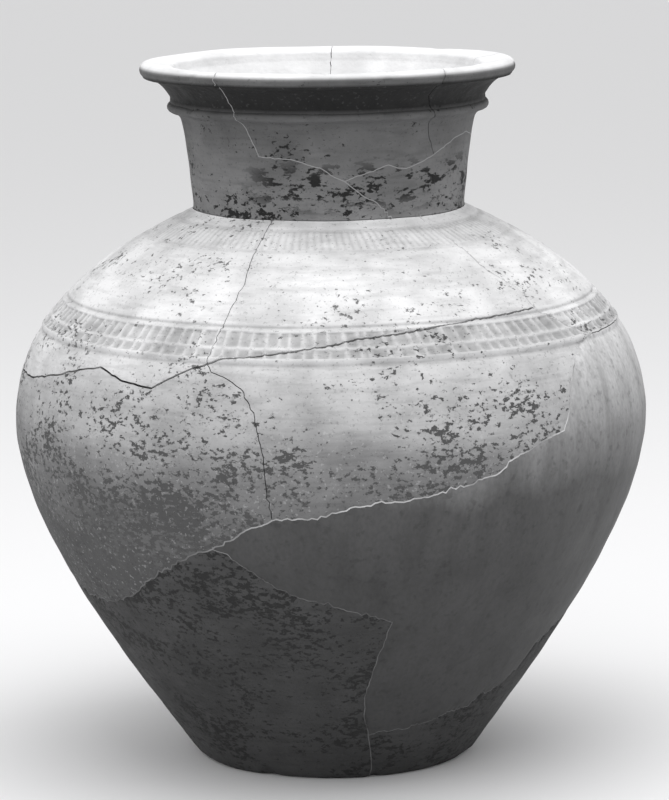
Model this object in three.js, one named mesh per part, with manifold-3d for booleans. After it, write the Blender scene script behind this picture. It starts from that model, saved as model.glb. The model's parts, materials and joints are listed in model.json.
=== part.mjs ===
// A large wheel-made storage jar of fired clay, rebuilt from its sherds.
// The jar is one hollow form of revolution. Breaks run through its wall, and each sherd between
// them is a solid of its own, lying against its neighbours along matching break faces.
// A smooth plaster fill stands in for the sherds that are lost.
//
// Millimetres, +Z up. The origin is the middle of the underside. The front of the jar faces -Y.
import * as THREE from 'three';
import { mergeVertices } from 'three/addons/utils/BufferGeometryUtils.js';
import Module from 'manifold-3d';

const wasm = await Module();
wasm.setup();

// Foot and belly
const baseRadius = 79;
const baseCorner = 4;
const footSlope = 54.4;
const footPull = 56;
const bellyRadius = 180.7;
const bellyHeight = 197;
const bellyPullDown = 61;
const bellyPullUp = 58;

// Shoulder, with a wide band of ornament round it and a narrow one at the neck foot
const bandAboveBelly = 55;
const bandHeight = 16;
const neckFootAboveBand = 47.5;
const neckBandBelowFoot = 4;
const neckBandHeight = 8.5;
const shoulderSlope = 24;
const shoulderPull = 59;
const beadProud = 0.8;
const beadHeight = 2.6;
const bandSunk = 0.5;
const lineDepth = 0.8;
const lineWidth = 1.6;
const fineLineWidth = 1.1;

// Neck, ridge, groove and lip
const neckRadius = 77.3;
const neckFootStep = 1.2;
const neckFootRise = 2;
const neckBow = 1.6;
const neckOpening = 5.7;
const neckHeight = 59.1;
const ridgeProud = 8.2;
const ridgeRound = 2.4;
const grooveAboveRidge = 5.4;
const grooveDepth = 1.6;
const lipAboveGroove = 20;
const lipOverhang = 15.5;
const lipRound = 4.2;
const lipSlope = 6.8;
const lipWidth = 18.7;
const flareHollow = 2;
const mouthRound = 2;

// Walls and floor
const bodyWall = 8;
const neckWall = 7.3;
const floorThickness = 10;
const floorEdge = 15;
const throatBelowRidge = 8.6;

// Breaks
const joinGap = 0.4;
const creaseTilt = 48;
const bendShare = 0.12;

// Fineness of the facets
const outsideSides = 48;
const insideSides = 30;
const footRows = 7;
const bellyRows = 3;
const shoulderRows = 2;
const insideFootRows = 5;
const longestStretch = 12;

// How far a cutting shape reaches past the faces that it cuts
const reach = 5;

// Heights and radii that follow from the sizes above
const bandLowHeight = bellyHeight + bandAboveBelly;
const bandHighHeight = bandLowHeight + bandHeight;
const neckFootHeight = bandHighHeight + neckFootAboveBand;
const neckBandHighHeight = neckFootHeight - neckBandBelowFoot;
const neckBandLowHeight = neckBandHighHeight - neckBandHeight;
const ridgeHeight = neckFootHeight + neckHeight;
const grooveHeight = ridgeHeight + grooveAboveRidge;
const jarHeight = grooveHeight + lipAboveGroove;
const shoulderTopRadius = neckRadius + neckFootStep;
const neckTopRadius = neckRadius + neckOpening;
const ridgeRadius = neckTopRadius + ridgeProud;
const grooveRadius = ridgeRadius - grooveDepth;
const lipRadius = ridgeRadius + lipOverhang;
const lipCrownRadius = lipRadius - lipRound;
const mouthRadius = lipRadius - lipWidth;
const throatRadius = neckRadius - neckWall;
const throatTopHeight = ridgeHeight - throatBelowRidge;
const floorRadius = baseRadius - floorEdge;

const radians = THREE.MathUtils.degToRad;

// The outline of the wall from foot to belly, and from belly to neck foot
const footCurve = new THREE.CubicBezierCurve(
  new THREE.Vector2(baseRadius, 0),
  new THREE.Vector2(
    baseRadius + footPull * Math.cos(radians(footSlope)),
    footPull * Math.sin(radians(footSlope))
  ),
  new THREE.Vector2(bellyRadius, bellyHeight - bellyPullDown),
  new THREE.Vector2(bellyRadius, bellyHeight)
);
const shoulderCurve = new THREE.CubicBezierCurve(
  new THREE.Vector2(bellyRadius, bellyHeight),
  new THREE.Vector2(bellyRadius, bellyHeight + bellyPullUp),
  new THREE.Vector2(
    shoulderTopRadius + shoulderPull * Math.cos(radians(shoulderSlope)),
    neckFootHeight - shoulderPull * Math.sin(radians(shoulderSlope))
  ),
  new THREE.Vector2(shoulderTopRadius, neckFootHeight)
);

// The place on the body wall at a height, moved out square to the wall by `proud`
function wallPoint(height, proud = 0) {
  const curve = height < bellyHeight ? footCurve : shoulderCurve;
  let low = 0;
  let high = 1;
  for (let step = 0; step < 40; step += 1) {
    const middle = (low + high) / 2;
    if (curve.getPoint(middle).y < height) low = middle;
    else high = middle;
  }
  const tangent = curve.getTangent(low);
  const outward = new THREE.Vector2(tangent.y, -tangent.x);
  return curve.getPoint(low).addScaledVector(outward, proud);
}

// Rows of the wall between two heights, both left out
function rowsBetween(low, high, count, proud = 0) {
  const rows = [];
  for (let row = 1; row < count; row += 1) {
    rows.push(wallPoint(low + (high - low) * row / count, proud));
  }
  return rows;
}

// An arc of an outline, from one angle to another in degrees
function arc(x, y, radius, from, to, steps) {
  const points = [];
  for (let step = 0; step <= steps; step += 1) {
    const angle = radians(from + (to - from) * step / steps);
    points.push(new THREE.Vector2(x + radius * Math.cos(angle), y + radius * Math.sin(angle)));
  }
  return points;
}

// A closed mesh as a solid that can be joined and cut
function solid(geometry) {
  const bare = geometry.clone();
  bare.deleteAttribute('normal');
  bare.deleteAttribute('uv');
  const merged = mergeVertices(bare, 1e-5);
  return new wasm.Manifold(new wasm.Mesh({
    numProp: 3,
    vertProperties: new Float32Array(merged.attributes.position.array),
    triVerts: new Uint32Array(merged.index.array)
  }));
}

// A solid turned round the jar's axis from an outline that starts and ends on it
function turned(outline, sides) {
  const lathe = new THREE.LatheGeometry(outline, sides);
  lathe.rotateX(Math.PI / 2);
  return solid(lathe);
}

// The shoulder band: a raised bead below, sunk cells, and a cut line along the top
function bandOutline() {
  return [
    wallPoint(bandLowHeight - beadHeight / 2),
    wallPoint(bandLowHeight, beadProud),
    wallPoint(bandLowHeight + beadHeight / 2, -bandSunk),
    wallPoint(bandHighHeight - lineWidth * 1.5, -bandSunk),
    wallPoint(bandHighHeight - lineWidth / 2),
    wallPoint(bandHighHeight, -lineDepth),
    wallPoint(bandHighHeight + lineWidth / 2)
  ];
}

// The narrow band at the neck foot lies between two fine cut lines
function neckBandOutline() {
  const half = fineLineWidth / 2;
  return [
    wallPoint(neckBandLowHeight - half),
    wallPoint(neckBandLowHeight, -lineDepth),
    wallPoint(neckBandLowHeight + half),
    wallPoint(neckBandHighHeight - half),
    wallPoint(neckBandHighHeight, -lineDepth),
    wallPoint(neckBandHighHeight + half)
  ];
}

// The neck from its foot up, drawn in a little and then opening to the ridge
function neckOutline() {
  const top = ridgeHeight - 3 * ridgeRound;
  const curve = new THREE.QuadraticBezierCurve(
    new THREE.Vector2(neckRadius, neckFootHeight + neckFootRise),
    new THREE.Vector2(neckRadius + neckBow, (neckFootHeight + top) / 2),
    new THREE.Vector2(neckTopRadius, top)
  );
  return curve.getPoints(3);
}

// The lip's flat top falls a little from its crown towards the mouth
function lipTop(radius) {
  return jarHeight - (lipCrownRadius - radius) * Math.tan(radians(lipSlope));
}

// The ridge, the groove above it and the lip that opens over both
function lipOutline() {
  const ridge = arc(ridgeRadius - ridgeRound, ridgeHeight, ridgeRound, -70, 60, 2);
  const lipEdgeHeight = jarHeight - lipRound;
  const flare = new THREE.QuadraticBezierCurve(
    new THREE.Vector2(grooveRadius, grooveHeight),
    new THREE.Vector2((grooveRadius + lipRadius) / 2 - flareHollow, lipEdgeHeight - lipRound),
    new THREE.Vector2(lipRadius, lipEdgeHeight - lipRound / 2)
  ).getPoints(2);
  const crown = arc(lipCrownRadius, lipEdgeHeight, lipRound, 0, 90, 2);
  const inner = mouthRadius - 2 * reach;
  return [...ridge, ...flare, ...crown, new THREE.Vector2(inner, lipTop(inner))];
}

// The outside of the jar, from the middle of the underside to the middle of the mouth
function outsideOutline() {
  const cornerTop = baseCorner * 1.5;
  const lip = lipOutline();
  return [
    new THREE.Vector2(0, 0),
    new THREE.Vector2(baseRadius - baseCorner * 0.6, 0),
    wallPoint(baseCorner * 0.3, -baseCorner * 0.1),
    wallPoint(cornerTop),
    ...rowsBetween(cornerTop, bellyHeight, footRows),
    wallPoint(bellyHeight),
    ...rowsBetween(bellyHeight, bandLowHeight, bellyRows),
    ...bandOutline(),
    ...rowsBetween(bandHighHeight, neckBandLowHeight, shoulderRows),
    ...neckBandOutline(),
    ...neckOutline(),
    ...lip,
    new THREE.Vector2(0, lip[lip.length - 1].y)
  ];
}

// The hollow of the jar. It runs on past the mouth, so that it cuts right through the lip.
function insideOutline() {
  const cornerHeight = floorThickness + bodyWall;
  const innerFoot = wallPoint(cornerHeight, -bodyWall);
  const middle = (bandHighHeight + neckFootHeight) / 2;
  const neckInside = wallPoint(neckFootHeight, -bodyWall);
  const mouthFall = 1.5;
  return [
    new THREE.Vector2(0, floorThickness),
    new THREE.Vector2(innerFoot.x - bodyWall, floorThickness),
    innerFoot,
    ...rowsBetween(cornerHeight, bellyHeight, insideFootRows, -bodyWall),
    wallPoint(bellyHeight, -bodyWall),
    ...rowsBetween(bellyHeight, bandHighHeight, bellyRows, -bodyWall),
    wallPoint(bandHighHeight, -bodyWall),
    wallPoint(middle, -bodyWall),
    new THREE.Vector2(throatRadius + neckWall / 2, neckInside.y - neckWall / 2),
    new THREE.Vector2(throatRadius, neckFootHeight + neckWall / 2),
    new THREE.Vector2(throatRadius, throatTopHeight),
    new THREE.Vector2((throatRadius + mouthRadius) / 2 - mouthRound, grooveHeight),
    new THREE.Vector2(mouthRadius - mouthRound, lipTop(mouthRadius) - mouthRound * mouthFall),
    new THREE.Vector2(mouthRadius + reach / mouthFall, lipTop(mouthRadius) + reach),
    new THREE.Vector2(0, jarHeight + reach)
  ];
}

// Places on the wall are written [turn, level]. The turn is in degrees from the front, growing
// towards +X. The level counts the jar's own zones, so that a break keeps its place on them:
// 0 edge of the floor, 1 foot, 2 belly, 3 and 4 border lines of the shoulder band, 5 neck foot,
// 6 ridge, 7 top of the lip. Level 2.5 is halfway in height from belly to band.
const levelHeights = [
  0, 0, bellyHeight, bandLowHeight, bandHighHeight, neckFootHeight, ridgeHeight, jarHeight
];

// A break face crosses the wall along rungs: each is a line from outside to inside, in the
// plane of its turn and square to the wall. Here are the rungs where the wall bends sharply.
const floorRung = [
  new THREE.Vector2(floorRadius, -reach),
  new THREE.Vector2(floorRadius, floorThickness + reach)
];
const footRung = [
  new THREE.Vector2(baseRadius + reach, -reach),
  new THREE.Vector2(baseRadius - bodyWall, floorThickness + bodyWall + reach)
];
const crease = new THREE.Vector2(neckRadius, neckFootHeight + neckFootRise / 2);
const intoCrease = new THREE.Vector2(
  -Math.cos(radians(creaseTilt)), -Math.sin(radians(creaseTilt))
);
const creaseRung = [
  crease.clone().addScaledVector(intoCrease, -reach),
  crease.clone().addScaledVector(intoCrease, neckWall + 2 * reach)
];

function neckRung(height) {
  const inRim = height > ridgeHeight;
  const [low, high] = inRim ? [ridgeHeight, jarHeight] : [neckFootHeight, ridgeHeight];
  const [from, to] = inRim ? [ridgeRadius, lipRadius] : [neckRadius, ridgeRadius];
  const outside = from + (to - from) * (height - low) / (high - low);
  return [
    new THREE.Vector2(outside + reach, height),
    new THREE.Vector2(throatRadius - reach, height)
  ];
}

function bodyRung(height) {
  return [wallPoint(height, reach), wallPoint(height, -bodyWall - reach)];
}

function blendRungs(a, b, share) {
  return [a[0].clone().lerp(b[0], share), a[1].clone().lerp(b[1], share)];
}

function rungAt(level) {
  const zone = Math.min(Math.floor(level), levelHeights.length - 2);
  const share = level - zone;
  const height = levelHeights[zone] + (levelHeights[zone + 1] - levelHeights[zone]) * share;
  if (zone === 0) return blendRungs(floorRung, footRung, share);
  if (zone === 1 && share < bendShare) {
    return blendRungs(footRung, bodyRung(bellyHeight * bendShare), share / bendShare);
  }
  if (zone === 4 && share > 1 - bendShare) {
    const from = neckFootHeight - neckFootAboveBand * bendShare;
    return blendRungs(bodyRung(from), creaseRung, (share - 1 + bendShare) / bendShare);
  }
  if (zone === 5 && share < bendShare) {
    const to = neckFootHeight + neckHeight * bendShare;
    return blendRungs(creaseRung, neckRung(to), share / bendShare);
  }
  return zone < 5 ? bodyRung(height) : neckRung(height);
}

// A rung's two ends in space, at a place on the wall
function rungInSpace([turn, level]) {
  const angle = radians(turn);
  return rungAt(level).map((end) => new THREE.Vector3(
    end.x * Math.sin(angle), -end.x * Math.cos(angle), end.y
  ));
}

function middleOf([outer, inner]) {
  return outer.clone().add(inner).multiplyScalar(0.5);
}

// Splits the underside of a flat bar along the same diagonals as its upper side, so that the bar
// keeps its thickness when it is twisted
function matchDiagonals(bar) {
  const corners = bar.index;
  const { start, count } = bar.groups[3];
  for (let first = start; first < start + count; first += 6) {
    const opposite = corners.getX(first + 4);
    corners.setX(first + 2, opposite);
    corners.setX(first + 3, corners.getX(first));
  }
}

// A thin sheet through the wall along a line of rungs. It is a flat bar with one slice for each
// stretch, whose corners are moved onto the rungs. Both ends run on a little, into the next break.
function sheetAlong(rungs, thickness) {
  const last = rungs.length - 1;
  const middles = rungs.map(middleOf);
  const bar = new THREE.BoxGeometry(last, 1, 1, last, 1, 1);
  const corners = bar.attributes.position;
  for (let corner = 0; corner < corners.count; corner += 1) {
    const place = Math.round(corners.getX(corner) + last / 2);
    const [outer, inner] = rungs[place];
    const ahead = middles[Math.min(place + 1, last)];
    const behind = middles[Math.max(place - 1, 0)];
    const along = ahead.clone().sub(behind).normalize();
    const across = inner.clone().sub(outer).normalize();
    const side = along.clone().cross(across).normalize();
    const runOn = place === 0 ? -thickness : (place === last ? thickness : 0);
    const end = corners.getZ(corner) > 0 ? outer : inner;
    const moved = end.clone()
      .addScaledVector(side, Math.sign(corners.getY(corner)) * thickness / 2)
      .addScaledVector(along, runOn);
    corners.setXYZ(corner, moved.x, moved.y, moved.z);
  }
  matchDiagonals(bar);
  return solid(bar);
}

// A break that runs all the way round at one level is turned instead
function ringSheet([outer, inner], thickness, sides) {
  const across = inner.clone().sub(outer).normalize().multiplyScalar(thickness / 2);
  const side = new THREE.Vector2(-across.y, across.x);
  const outline = [
    outer.clone().add(side), outer.clone().sub(side), inner.clone().sub(side), inner.clone().add(side)
  ];
  return turned([...outline, outline[0].clone()], sides);
}

// Long stretches get extra rungs, so that a sheet follows the round wall
function filledIn(places) {
  const filled = [places[0]];
  for (let index = 1; index < places.length; index += 1) {
    const [fromTurn, fromLevel] = places[index - 1];
    const [toTurn, toLevel] = places[index];
    const parts = Math.max(1, Math.ceil(Math.abs(toTurn - fromTurn) / longestStretch));
    for (let part = 1; part <= parts; part += 1) {
      const share = part / parts;
      filled.push([fromTurn + (toTurn - fromTurn) * share, fromLevel + (toLevel - fromLevel) * share]);
    }
  }
  return filled;
}

// Where three breaks meet
const crackPeak = [-23.7, 2.95];
const seamFork = [-10.6, 1.848];
const seamFoot = [-22.5, 1.755];
const fillCorner = [12.3, 1.533];
const fillHeel = [10.5, 1.152];
const bandFork = [49.4, 4.05];
const fillTop = [62, 3];
const fillBackTop = [113, 2.9];
const fillBackFoot = [112, 1.49];
const leftCrossing = [-102, 2.78];
const leftFoot = [-92, 1.53];
const backTopRight = [155, 2.74];
const backTopMiddle = [188, 2.85];
const backTopLeft = [208, 2.68];
const backFootRight = [152, 1.56];
const backFootMiddle = [180, 1.58];
const backFootLeft = [211, 1.58];
const neckFork = [6.7, 5.386];
const neckRise = [47, 5.59];
const neckBackRight = [106, 5.5];

// The breaks, each from one meeting place to the next
const breaks = {
  crackLeft: [
    crackPeak, [-28, 2.865], [-34, 2.69], [-41.5, 2.73], [-47.8, 2.824], [-53.5, 2.77],
    [-61.5, 2.664], [-72, 2.56], [-84, 2.545], [-94, 2.655], leftCrossing
  ],
  crackDown: [
    crackPeak, [-22.5, 2.88], [-19, 2.818], [-16.3, 2.738], [-13.5, 2.52], [-12.2, 2.218],
    [-11.5, 1.98], seamFork
  ],
  crackThroughBand: [
    crackPeak, [-18, 3.03], [-7.5, 3.28], [1.8, 3.52], [5, 3.64], [13.8, 3.76], [21.2, 3.88],
    [30, 4.01], [40, 4.03], bandFork
  ],
  bandEnd: [bandFork, [52.5, 3.8], [56, 3.45], fillTop],
  seamShort: [seamFork, [-15.9, 1.812], seamFoot],
  seamLeft: [
    seamFoot, [-25.5, 1.744], [-34.3, 1.679], [-46.2, 1.575], [-56, 1.533], [-68, 1.523],
    [-80, 1.548], leftFoot
  ],
  seamRight: [
    seamFork, [-4.4, 1.85], [4, 1.888], [16, 1.907], [24, 1.931], [30, 1.956], [35.2, 2.013],
    [39, 2.095], [44.9, 2.171], [46.2, 2.278], [49.2, 2.633], [53, 2.849], [57, 2.955], fillTop
  ],
  seamDown: [seamFoot, [-20.3, 1.746], [-14, 1.674], [-7.7, 1.62], [0.8, 1.585], fillCorner],
  fillFront: [fillCorner, [10, 1.407], [8, 1.292], [8.5, 1.216], fillHeel],
  heel: [fillHeel, [12.2, 1.093], [13.8, 1.026], [14, 1], [14, 0]],
  fillUnder: [
    fillHeel, [18.5, 1.166], [29, 1.179], [34.8, 1.197], [44.2, 1.213], [46, 1.238], [54, 1.252],
    [60, 1.305], [62, 1.365], [66, 1.391], [76, 1.421], [90, 1.447], [102, 1.467], fillBackFoot
  ],
  fillOver: [fillTop, [70, 3], [84, 3], [98, 2.98], [106, 2.94], fillBackTop],
  fillBack: [
    fillBackTop, [116, 2.5], [121, 2], [118, 1.85], [119, 1.72], [115, 1.58], fillBackFoot
  ],
  shoulderLeft: [
    crackPeak, [-22.6, 3.97], [-21.6, 4.29], [-21.3, 4.446], [-22.3, 4.61], [-24, 5]
  ],
  shoulderRight: [
    bandFork, [48.6, 4.25], [44.5, 4.467], [43.6, 4.53], [43.7, 4.65], [41.5, 5]
  ],
  shoulderBackRight: [fillBackTop, [115, 3.2], [113, 3.7], [110, 4.2], [112, 4.6], [108, 5]],
  shoulderBack: [backTopMiddle, [190, 3.1], [187, 3.6], [185, 4.1], [189, 4.5], [186, 5]],
  shoulderBackLeft: [
    leftCrossing, [-97, 3.3], [-100, 3.8], [-104, 4.3], [-102, 4.7], [-105, 5]
  ],
  backTopA: [fillBackTop, [121, 2.78], [132, 2.7], [143, 2.82], backTopRight],
  backTopB: [backTopRight, [165, 2.66], [176, 2.74], backTopMiddle],
  backTopC: [backTopMiddle, [197, 2.8], backTopLeft],
  backTopD: [backTopLeft, [219, 2.6], [230, 2.7], [241, 2.62], [258, 2.78]],
  bellyBackRight: [backTopRight, [158, 2.4], [153, 2.05], [157, 1.85], backFootRight],
  bellyBackLeft: [backTopLeft, [205, 2.35], [210, 2], [206, 1.8], backFootLeft],
  bellyLeft: [leftCrossing, [-99, 2.4], [-103, 2], [-98, 1.75], leftFoot],
  backFootA: [fillBackFoot, [124, 1.55], [138, 1.5], backFootRight],
  backFootB: [backFootRight, [165, 1.53], backFootMiddle],
  backFootC: [backFootMiddle, [195, 1.54], backFootLeft],
  backFootD: [backFootLeft, [224, 1.54], [238, 1.6], [252, 1.53], [268, 1.53]],
  lowerBackRight: [fillBackFoot, [115, 1.35], [111, 1.2], [114, 1.05], [114, 1], [114, 0]],
  lowerBack: [backFootMiddle, [183, 1.4], [178, 1.25], [181, 1.08], [181, 1], [181, 0]],
  lowerLeft: [leftFoot, [-95, 1.4], [-91, 1.25], [-94, 1.08], [-94, 1], [-94, 0]],
  neckFront: [
    neckFork, [2.4, 5.43], [-1.8, 5.5], [-14.6, 5.6], [-28.2, 5.62], [-34, 5.95], [-37, 6.3],
    [-35.7, 7.1]
  ],
  neckFrontDown: [neckFork, [13.3, 5.26], [20.3, 5.17], [27, 5]],
  neckFrontRight: [
    neckFork, [10, 5.42], [24.6, 5.53], [28.8, 5.495], [32.6, 5.485], [40, 5.53], neckRise
  ],
  rimRight: [neckRise, [43, 5.78], [37, 6.4], [38, 7.1]],
  neckRight: [neckRise, [61, 5.725], [72, 5.76], [84, 5.7], [95, 5.62], neckBackRight],
  neckBackRightUp: [neckBackRight, [103, 5.9], [106, 6.3], [104, 7.1]],
  neckBackRightDown: [neckBackRight, [108, 5.25], [104, 5]],
  neckBack: [[176, 5], [180, 5.35], [175, 5.7], [179, 6.1], [178, 7.1]],
  neckBackLeft: [[-97, 5], [-94, 5.4], [-99, 5.8], [-96, 6.2], [-97, 7.1]]
};

// Places on the floor are written [turn, share of the floor's radius]. One break crosses it.
const floorBreak = [
  [-52, 1.08], [-48, 0.8], [-60, 0.5], [-20, 0.2], [110, 0.18], [150, 0.45], [138, 0.75], [142, 1.08]
];

function rungInFloor([turn, share]) {
  const x = floorRadius * share * Math.sin(radians(turn));
  const y = -floorRadius * share * Math.cos(radians(turn));
  return [new THREE.Vector3(x, y, -reach), new THREE.Vector3(x, y, floorThickness + reach)];
}

// The clay and the plaster, as they look under an even light
const paleClay = { color: 0xcfcfd0, roughness: 0.78, metalness: 0 };
const mottledClay = { color: 0x9b9c9e, roughness: 0.8, metalness: 0 };
const darkClay = { color: 0x5d5e60, roughness: 0.82, metalness: 0 };
const tonedPlaster = { color: 0x7c7d80, roughness: 0.7, metalness: 0 };

// The sherds, each with a place inside it and its finish
const sherds = [
  ['rim_front', [0, 6.2], mottledClay],
  ['rim_right', [75, 6.2], mottledClay],
  ['neck_left', [-60, 5.5], mottledClay],
  ['neck_lower_right', [60, 5.3], mottledClay],
  ['neck_back_right', [140, 5.5], mottledClay],
  ['neck_back_left', [220, 5.5], mottledClay],
  ['shoulder_front_left', [-60, 4.4], paleClay],
  ['shoulder_front_middle', [10, 4.5], paleClay],
  ['shoulder_front_right', [80, 4.4], paleClay],
  ['shoulder_back_right', [150, 4.4], paleClay],
  ['shoulder_back_left', [220, 4.4], paleClay],
  ['belly_front_left', [-50, 2.1], mottledClay],
  ['belly_front_middle', [20, 2.4], mottledClay],
  ['belly_back_right', [135, 2.1], mottledClay],
  ['belly_back_middle', [180, 2.1], mottledClay],
  ['belly_back_left', [235, 2.1], mottledClay],
  ['lower_front_left', [-50, 1.3], darkClay],
  ['lower_back_left', [220, 1.3], darkClay],
  ['lower_back_right', [150, 1.3], darkClay],
  ['foot_front_right', [60, 1.15], darkClay],
  ['plaster_fill', [50, 1.7], tonedPlaster]
];
const floorSherds = [
  ['floor_front', [30, 0.6], darkClay],
  ['floor_back', [-120, 0.6], darkClay]
];

// The jar, whole and then cut along its breaks
const wholeJar = turned(outsideOutline(), outsideSides).subtract(turned(insideOutline(), insideSides));
const wallSheets = Object.values(breaks).map(
  (places) => sheetAlong(filledIn(places).map(rungInSpace), joinGap)
);
const neckFootSheet = ringSheet(creaseRung, joinGap, outsideSides);
const floorEdgeSheet = ringSheet(floorRung, joinGap, insideSides);
const floorSheet = sheetAlong(floorBreak.map(rungInFloor), joinGap);
const allSheets = [...wallSheets, neckFootSheet, floorEdgeSheet, floorSheet]
  .reduce((whole, sheet) => whole.add(sheet));
const pieces = wholeJar.subtract(allSheets).decompose();

// A small marker in the middle of the wall or the floor tells which piece holds a place
function pieceHolding(point) {
  const marker = solid(new THREE.OctahedronGeometry(1).translate(point.x, point.y, point.z));
  const found = pieces.filter((piece) => !piece.intersect(marker).isEmpty());
  if (found.length !== 1) throw new Error(`${found.length} pieces hold one place`);
  return found[0];
}

function meshOf(name, piece, finish) {
  const { vertProperties, triVerts } = piece.getMesh();
  const geometry = new THREE.BufferGeometry();
  geometry.setAttribute('position', new THREE.BufferAttribute(new Float32Array(vertProperties), 3));
  geometry.setIndex(new THREE.BufferAttribute(new Uint32Array(triVerts), 1));
  geometry.computeVertexNormals();
  const mesh = new THREE.Mesh(geometry, new THREE.MeshStandardMaterial(finish));
  mesh.name = name;
  return mesh;
}

const jar = new THREE.Group();
for (const [name, place, finish] of sherds) {
  jar.add(meshOf(name, pieceHolding(middleOf(rungInSpace(place))), finish));
}
for (const [name, place, finish] of floorSherds) {
  jar.add(meshOf(name, pieceHolding(middleOf(rungInFloor(place))), finish));
}
console.log(`${pieces.length} pieces cut, ${jar.children.length} named`);

export default jar;
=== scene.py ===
# %% [markdown]
# # A large storage jar, mended from its sherds
# The jar was turned on a wheel, fired, broken, and put together again. One large area on the
# right was lost and was filled with plaster. This lesson turns the jar as one hollow form, works
# its surface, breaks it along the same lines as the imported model, and gives each sherd its finish.
# Lengths are in millimetres until the last moment, when MM turns them into metres.

# %% Load the frame
import json
import math

import bmesh
import bpy
import numpy as np
from mathutils import Matrix, Vector, kdtree

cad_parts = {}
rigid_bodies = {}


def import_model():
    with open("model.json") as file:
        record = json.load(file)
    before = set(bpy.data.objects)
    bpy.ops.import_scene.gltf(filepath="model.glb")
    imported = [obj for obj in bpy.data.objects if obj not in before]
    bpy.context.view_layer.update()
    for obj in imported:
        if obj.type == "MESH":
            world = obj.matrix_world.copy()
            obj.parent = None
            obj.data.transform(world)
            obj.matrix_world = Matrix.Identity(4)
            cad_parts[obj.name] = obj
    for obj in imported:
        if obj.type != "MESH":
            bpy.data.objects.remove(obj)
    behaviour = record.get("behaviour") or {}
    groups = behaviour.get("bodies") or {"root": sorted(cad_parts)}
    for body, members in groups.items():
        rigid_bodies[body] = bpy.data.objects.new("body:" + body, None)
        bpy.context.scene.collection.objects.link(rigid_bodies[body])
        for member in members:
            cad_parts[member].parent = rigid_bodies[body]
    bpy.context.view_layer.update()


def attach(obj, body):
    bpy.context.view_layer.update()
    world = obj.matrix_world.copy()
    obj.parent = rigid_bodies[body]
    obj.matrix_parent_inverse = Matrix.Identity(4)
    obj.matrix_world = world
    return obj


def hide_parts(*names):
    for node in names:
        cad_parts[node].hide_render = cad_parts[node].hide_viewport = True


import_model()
MM = 0.001

# %% [markdown]
# ## Camera
# A camera shows a jar's bands and mouth as ellipses, and how flat they are tells from how high and
# how far away it looks. It could be placed by eye, but a fit to the outline, the bands and the
# mouth settles all of it at once: a long lens far away, nine degrees down, leaning by under a
# degree.

# %% Camera
CAMERA_PLACE, LENS = (0.0019, -2.2823, 0.5783), 180.8
tilt, lean = math.radians(9.319), math.radians(-0.726)
ahead = Vector((0, math.cos(tilt), -math.sin(tilt)))
level_up = Vector((0, math.sin(tilt), math.cos(tilt)))
right = math.cos(lean) * Vector((1, 0, 0)) + math.sin(lean) * level_up
upward = -math.sin(lean) * Vector((1, 0, 0)) + math.cos(lean) * level_up
camera = bpy.data.objects.new("camera", bpy.data.cameras.new("camera"))
camera.data.sensor_width = 36
camera.data.lens = LENS
camera.data.clip_end = 60
turn = Matrix((right, upward, -ahead)).transposed().to_4x4()
camera.matrix_world = Matrix.Translation(CAMERA_PLACE) @ turn
bpy.context.scene.collection.objects.link(camera)
bpy.context.scene.camera = camera
bpy.context.scene.view_settings.view_transform = "Standard"
print("camera at", CAMERA_PLACE, "lens", LENS)

# %% [markdown]
# ## Stage and light
# A jar is shown on a plain pale ground. A curved backdrop could stand behind it, but the camera
# looks down a little, so one wide flat floor fills the whole picture by itself. One hard lamp would
# burn out the shoulder. A wide soft lamp over the jar, a weaker one in front and an even white
# surrounding leave lip and shoulder bright and the foot in shade, and show colours about as
# written.

# %% Stage
FLOOR_TONE, FLOOR_HALF = 0.84, 9


def new_material(name):
    material = bpy.data.materials.new(name)
    material.use_nodes = True
    tree = material.node_tree
    return material, tree, tree.nodes["Principled BSDF"]


form = bmesh.new()
bmesh.ops.create_grid(form, x_segments=2, y_segments=2, size=FLOOR_HALF)
floor_mesh = bpy.data.meshes.new("floor")
form.to_mesh(floor_mesh)
form.free()
floor = bpy.data.objects.new("floor", floor_mesh)
bpy.context.scene.collection.objects.link(floor)
paper, _, paper_shader = new_material("floor")
paper_shader.inputs["Roughness"].default_value = 0.9
paper_shader.inputs["Base Color"].default_value = (FLOOR_TONE, FLOOR_TONE, FLOOR_TONE * 1.01, 1)
floor_mesh.materials.append(paper)
print("floor", 2 * FLOOR_HALF, "m wide, tone", FLOOR_TONE)

# %% Light
world = bpy.data.worlds.new("room")
bpy.context.scene.world = world
world.use_nodes = True
world.node_tree.nodes["Background"].inputs["Color"].default_value = (1, 1, 1, 1)
world.node_tree.nodes["Background"].inputs["Strength"].default_value = 0.8


def soft_lamp(name, place, aim, size, power):
    lamp = bpy.data.lights.new(name, "AREA")
    lamp.shape = "RECTANGLE"
    lamp.size, lamp.size_y = size
    lamp.energy = power
    holder = bpy.data.objects.new(name, lamp)
    bpy.context.scene.collection.objects.link(holder)
    holder.location = place
    holder.rotation_euler = (Vector(aim) - Vector(place)).to_track_quat("-Z", "Y").to_euler()


soft_lamp("top", (0.1, -0.25, 1.7), (0, 0, 0.2), (1.6, 1.4), 17)
soft_lamp("front", (-0.9, -1.9, 1.3), (0, 0, 0.2), (1.2, 1.2), 5)
print("lamps 2")

# %% [markdown]
# ## The turned form
# A pot grows on the wheel from one outline. Stacked rings or a sculpted ball could give the same
# form, but a chain of points keeps every size in view: from the middle of the underside, up the
# outside, over the lip, and down the inside to the middle of the floor. The spin operator then
# turns the chain into the whole wall at once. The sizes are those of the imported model.

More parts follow.
